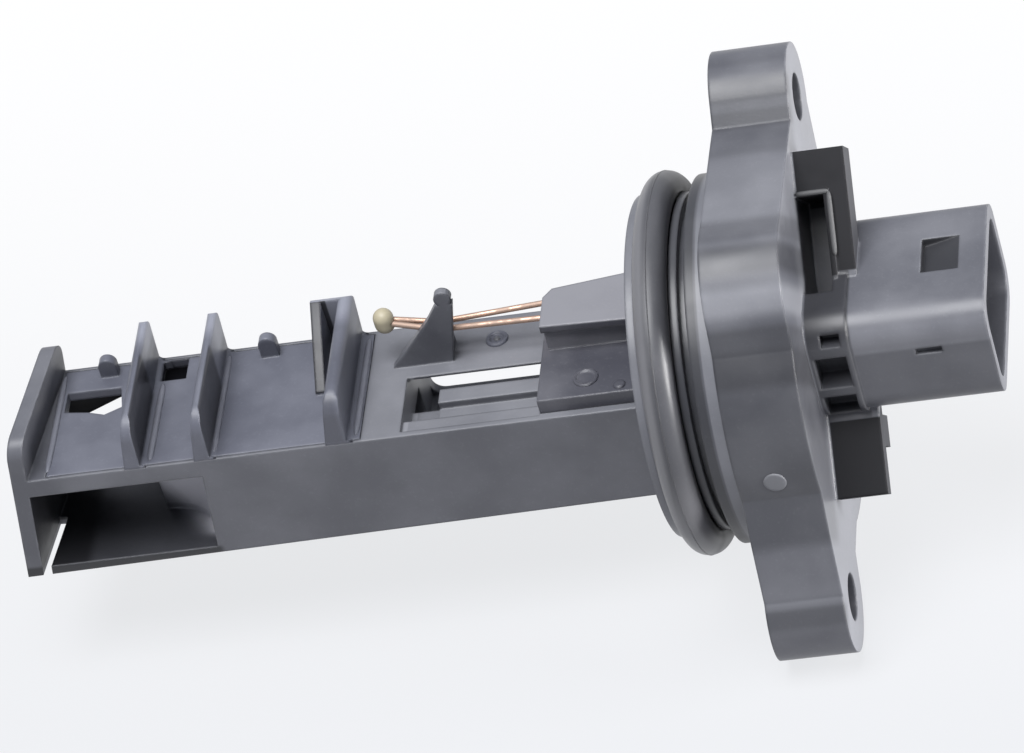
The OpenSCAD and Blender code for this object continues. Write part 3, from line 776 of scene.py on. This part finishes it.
# %% [markdown]
# The ribbed cover is bluer and lighter than the housing. The flanks of its first two ribs and
# the pocket between the third rib and its twin lie in shade, and the ribs' far ends catch the
# light of the room. Shadows alone came out too pale there, so masks on the faces' own
# directions help them.

# %% Cover plastic
COVER_TOP = (2.6, 10)
FLANK_BOX = ((-71, -58), (-9.5, 3), COVER_TOP)
FLANK_SHADE = 0.8
TWIN_BOX = ((-52, -48.2), None, COVER_TOP)
TWIN_SHADE = 0.9
TWIN_FOOT_BOX = ((-48.4, -45.6), (-12, -5), COVER_TOP)
TWIN_FOOT_SHADE = 0.3
FAR_END_PALE = 0.9

cover_mat, tree, surface = moulded_material("cover_plastic", (0.1, 0.105, 0.132),
                                            (0.26, 0.27, 0.32), cloud=0.3, wear=0.5, dull=0.4,
                                            bump=0.3, corner_shade=0.4)
x, y, z = place = object_place(tree)[1]
normal_x, normal_y, normal_z = facing_parts(tree)
flank = product(tree, box_mask(tree, place, FLANK_BOX, 0.5, FLANK_SHADE),
                remap(tree, normal_x, 0.5, 0.8))
twin = largest(tree, box_mask(tree, place, TWIN_BOX, 0.1, TWIN_SHADE),
               box_mask(tree, place, TWIN_FOOT_BOX, 0.4, TWIN_FOOT_SHADE))
twin = product(tree, twin, remap(tree, normal_y, -0.4, -0.55))
rib_far_end = product(tree, past(tree, y, 5, 2), past(tree, z, 5.2, 0.8), FAR_END_PALE)
fill(tree, surface.inputs["Shade"], largest(tree, flank, twin))
fill(tree, surface.inputs["Pale"], rib_far_end)
print("cover nodes:", len(tree.nodes))

# %% [markdown]
# The lid beside the flange is darker than the ribbed cover. The top of its raised block gets a
# painted reflection of the pale room, and a band of the block's front, in the shade under the
# block's top, gets painted light.

# %% Lid plastic
FACE_Z = 2.4
BLOCK_Z = 8.4
BLOCK_TOP_PALE = 0.95
BLOCK_FRONT_Z = (4.4, 7)
BLOCK_FRONT_PALE = 0.55

lid_mat, tree, surface = moulded_material("lid_plastic", (0.062, 0.063, 0.078),
                                          (0.26, 0.26, 0.285), cloud=0.3, wear=0.5, dull=0.36,
                                          bump=0.3, corner_shade=0.15)
height = object_place(tree)[1][2]
block_top = product(tree, past(tree, height, BLOCK_Z - 0.12, 0.05), BLOCK_TOP_PALE)
block_front = product(tree, band_mask(tree, height, *BLOCK_FRONT_Z, 0.1, BLOCK_FRONT_PALE),
                      remap(tree, facing_parts(tree)[1], -0.7, -0.9))
fill(tree, surface.inputs["Pale"], largest(tree, block_top, block_front))
print("lid nodes:", len(tree.nodes))

# %% [markdown]
# The solids' shapes are right, so they stay, and each only gets its finish. Anything that isn't
# in the list is a contact blade.

# %% Dress the solids
FINISH = {"housing": housing_mat, "rear_cover": housing_mat, "channel_cover": cover_mat,
          "electronics_cover": lid_mat, "o_ring": rubber_mat, "thermistor_bead": bead_mat,
          "thermistor_lead_a": lead_mat, "thermistor_lead_b": lead_mat,
          "circuit_board": board_mat, "sensing_chip": silicon_mat, "chip_frame": ceramic_mat,
          "control_chip": package_mat, "capacitor_a": capacitor_mat,
          "capacitor_b": capacitor_mat, "capacitor_c": capacitor_mat,
          "resistor_a": package_mat, "resistor_b": package_mat}

for name, node in nodes.items():
    node.data.materials.clear()
    node.data.materials.append(FINISH.get(name, terminal_mat))
print("nodes dressed:", len(nodes))

# %% [markdown]
# The moulding has small details that the solids leave out: rings, pads, rails and a flash line.
# Each is a skin over rings of points, like the hoops and staves of a barrel. Worked out as one
# numpy array, the points come in rows, and the faces follow from the row and column numbers.

# %% Skins over rings of points
SHARP_ANGLE = 40


def band_faces(rows, count, joined=False):
    """Quads between neighbouring rows of count points; joined closes the last row to the first."""
    row, column = np.indices((rows if joined else rows - 1, count))
    next_row, next_column = (row + 1) % rows, (column + 1) % count
    quads = [row * count + column, row * count + next_column,
             next_row * count + next_column, next_row * count + column]
    return np.stack(quads, axis=-1).reshape(-1, 4)


def capped_skin(first, rings, last):
    """Points and faces of a closed skin: a first point, rings (row, column, xyz), a last one."""
    rows, count = rings.shape[:2]
    points = np.vstack([first, rings.reshape(-1, 3), last])
    here = np.arange(count)
    after = (here + 1) % count
    top = 1 + (rows - 1) * count
    start_fan = np.column_stack([np.zeros_like(here), 1 + after, 1 + here])
    end_fan = np.column_stack([np.full_like(here, len(points) - 1), top + here, top + after])
    faces = start_fan.tolist() + (1 + band_faces(rows, count)).tolist() + end_fan.tolist()
    return points, faces


def add_detail(name, points, faces, material, sharp_angle=SHARP_ANGLE):
    """A smooth mesh piece from points in mm, with edges over sharp_angle degrees kept crisp."""
    mesh = bpy.data.meshes.new(name)
    mesh.from_pydata((points * MM).tolist(), [], faces)
    mesh.polygons.foreach_set("use_smooth", [True] * len(mesh.polygons))
    if sharp_angle:
        mesh.set_sharp_from_angle(angle=np.radians(sharp_angle))
    mesh.materials.append(material)
    piece = bpy.data.objects.new(name, mesh)
    scene.collection.objects.link(piece)
    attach(piece, "root")
    return piece


print("edges over", SHARP_ANGLE, "degrees stay crisp")

# %% [markdown]
# Ejector pins and moulding marks leave rings and pads on the real part. They are turned shapes,
# a profile of (radius, height) points spun about an axis. The Screw modifier could do it, but a
# few lines of numpy keep the poles closed. The first and last points lie on the axis.

# %% Turned shapes
SPIN_STEPS = 48
DISC_H = 0.06


def turned(name, profile, centre, axis, material):
    """Spin (r, h) points about axis through centre: p = c + r (u cos a + v sin a) + h n."""
    n = Vector(axis).normalized()
    u = n.orthogonal().normalized()
    u, v, n = np.array(u), np.array(n.cross(u)), np.array(n)
    a = np.linspace(0, 2 * np.pi, SPIN_STEPS, endpoint=False)[:, None]
    outward = u * np.cos(a) + v * np.sin(a)
    r, h = profile.T[:, :, None, None]
    spine = np.array(centre) + h * n
    rings = (spine + r * outward)[1:-1]
    points, faces = capped_skin(spine[0], rings, spine[-1])
    return add_detail(name, points, faces, material)


def raised_ring(outer, inner, height, sunk=0.15):
    """Profile of a low ring, r = m + w cos t and h = H sin t, with a thin flat disc inside it."""
    t = np.linspace(0, np.pi, 9)[:-1]
    middle, half = (outer + inner) / 2, (outer - inner) / 2
    crest = np.column_stack([middle + half * np.cos(t), height * np.sin(t)])
    return np.vstack([(0, -sunk), (outer, -sunk), crest, (inner, DISC_H), (0, DISC_H)])


def low_dome(radius, height, sunk=0.15):
    """Profile of a round pad whose rim, r = R - H + H cos t and h = H sin t, rolls over."""
    t = np.linspace(0, np.pi / 2, 6)
    rim = np.column_stack([radius - height + height * np.cos(t), height * np.sin(t)])
    return np.vstack([(0, -sunk), (radius, -sunk), rim, (0, height)])


print("turned in", SPIN_STEPS, "steps")

# %% [markdown]
# A ring with a pip in it lies on the probe's top beside the lead post, a ring and a pad lie on
# the low step of the lid, and the side of the flange has one pin mark.

# %% Rings, pads and pin mark
UP = (0, 0, 1)
LID_STEP_Z = FACE_Z + 1.9
PANEL_MARK = (-29.1, 5.4, FACE_Z)
LID_RING = (-17.4, -5.4, LID_STEP_Z)
LID_PAD = (-13.4, -7.2, LID_STEP_Z)
SIDE_MARK = (4.3, -21.47, -0.31)
SIDE_NORMAL = (0, -0.9999, -0.0145)

details = [
    turned("panel_mark_ring", raised_ring(1.35, 0.8, 0.32), PANEL_MARK, UP, cover_mat),
    turned("panel_mark_pip", low_dome(0.42, 0.2), PANEL_MARK, UP, mark_mat),
    turned("lid_ring", raised_ring(1.5, 1.05, 0.25), LID_RING, UP, lid_mat),
    turned("lid_pad", low_dome(0.75, 0.25), LID_PAD, UP, lid_mat),
    turned("flange_pin_mark", low_dome(1.3, 0.14, 0.3), SIDE_MARK, SIDE_NORMAL, mark_mat),
]
print("turned details:", [piece.name for piece in details])

# %% [markdown]
# A low rail runs across the cover beside each rib and beside the tip plate. A bevelled curve
# would give a round bar with blunt ends. Here a half ellipse is carried along a straight line,
# and it shrinks toward both ends, so that the rail runs out as a moulded one does.

# %% Rail shape
STATIONS = 33
SECTION_POINTS = 9
RUN_OUT_POWER = 8


def unit(vector):
    """The vector at length 1."""
    return np.array(vector, float) / np.linalg.norm(vector)


def low_rail(name, start, end, up, half_w, height, material, sunk=0.1):
    """Bar with section p = c + w k cos t side + (h k sin t - d) up, where k = sqrt(1 - s^8)."""
    start, end, up = np.array(start, float), np.array(end, float), unit(up)
    side = np.cross(unit(end - start), up)
    s = np.sin(np.linspace(-np.pi / 2, np.pi / 2, STATIONS))[1:-1, None, None]
    k = np.sqrt(1 - s ** RUN_OUT_POWER)
    t = np.linspace(0, np.pi, SECTION_POINTS)
    across = np.append(np.cos(t), [-1, 1])[:, None]
    rise = np.append(np.sin(t), [0, 0])[:, None]
    drop = np.append(np.zeros_like(t), [sunk, sunk])[:, None]
    spine = start + (s + 1) / 2 * (end - start)
    rings = spine + half_w * k * across * side + (height * k * rise - drop) * up
    points, faces = capped_skin(start, rings, end)
    return add_detail(name, points, faces, material)


print("rail section:", SECTION_POINTS + 2, "points")

# %% [markdown]
# Four rails lie on the cover, square to the probe. Each is given by its place along the probe
# and the end that it reaches. The one beside the first rib stops short of the slot.

# %% Rails on the cover
RAIL_AT = {"tip_rail": (-81.3, 8.3), "rib_rail_a": (-68.95, 4.8), "rib_rail_b": (-61.35, 8.3),
           "rib_rail_c": (-44.5, 8.3)}
RAIL_START = -8.3
RAIL_HALF_W = 0.4
RAIL_HEIGHT = 0.3

rails = [low_rail(name, (rail_x, RAIL_START, FACE_Z), (rail_x, end_y, FACE_Z), UP, RAIL_HALF_W,
                  RAIL_HEIGHT, rail_mat) for name, (rail_x, end_y) in RAIL_AT.items()]
print("rails on the cover:", len(rails))

# %% [markdown]
# Another rail follows the rim of the pocket behind the plug, in three straight stretches. The
# pocket lies along the line of the bolts, which is turned 45 degrees about X.

# %% Rim of the pocket
RIM_TOP = 9.5
RIM_T = (4.8, 9.2, 16.55)
RIM_X = (9.1, 12.9)
RIM_HALF_W = 0.3
RIM_HEIGHT = 0.2
NEAR = (0, -1, 1)


def on_rim(x, t):
    """Point at t along the bolt line and RIM_TOP square to it, turned 45 degrees about X."""
    return x, (t - RIM_TOP) * np.sqrt(0.5), (t + RIM_TOP) * np.sqrt(0.5)


rim_corner = on_rim(RIM_X[1], RIM_T[2])
RIM_PATHS = {"pocket_rim_a": (on_rim(RIM_X[0], RIM_T[2]), rim_corner),
             "pocket_rim_b": (rim_corner, on_rim(RIM_X[1], RIM_T[1])),
             "pocket_rim_c": (on_rim(RIM_X[0], RIM_T[0]), on_rim(RIM_X[1], RIM_T[0]))}
rails += [low_rail(name, start, end, NEAR, RIM_HALF_W, RIM_HEIGHT, rim_mat)
          for name, (start, end) in RIM_PATHS.items()]
print("rails:", len(rails))

# %% [markdown]
# The O-ring was made in two mould halves, and a hair-thin flash line runs round its widest
# circle. A bump could hint at it, but the line also shows in the ring's outline. So it is a
# thin hoop with a small round section, sunk a little more than halfway into the ring.

# %% Seal flash line
RING_X = -6.7
RING_OUTER_R = 22.0
FLASH_R = 0.1
FLASH_SUNK = 0.55


def hoop(name, centre_x, radius, section_r, material, around=192, across=8):
    """Torus about X: r = R + s cos b, x = x0 + s sin b."""
    a = np.linspace(0, 2 * np.pi, around, endpoint=False)[:, None]
    b = np.linspace(0, 2 * np.pi, across, endpoint=False)
    r = radius + section_r * np.cos(b)
    along_axis = np.broadcast_to(centre_x + section_r * np.sin(b), (around, across))
    points = np.stack([along_axis, r * np.cos(a), r * np.sin(a)], axis=-1).reshape(-1, 3)
    faces = band_faces(around, across, joined=True).tolist()
    return add_detail(name, points, faces, material, sharp_angle=None)


hoop("seal_flash_line", RING_X, RING_OUTER_R - FLASH_R * FLASH_SUNK, FLASH_R, rubber_mat)
print("flash line radius", RING_OUTER_R, "mm")
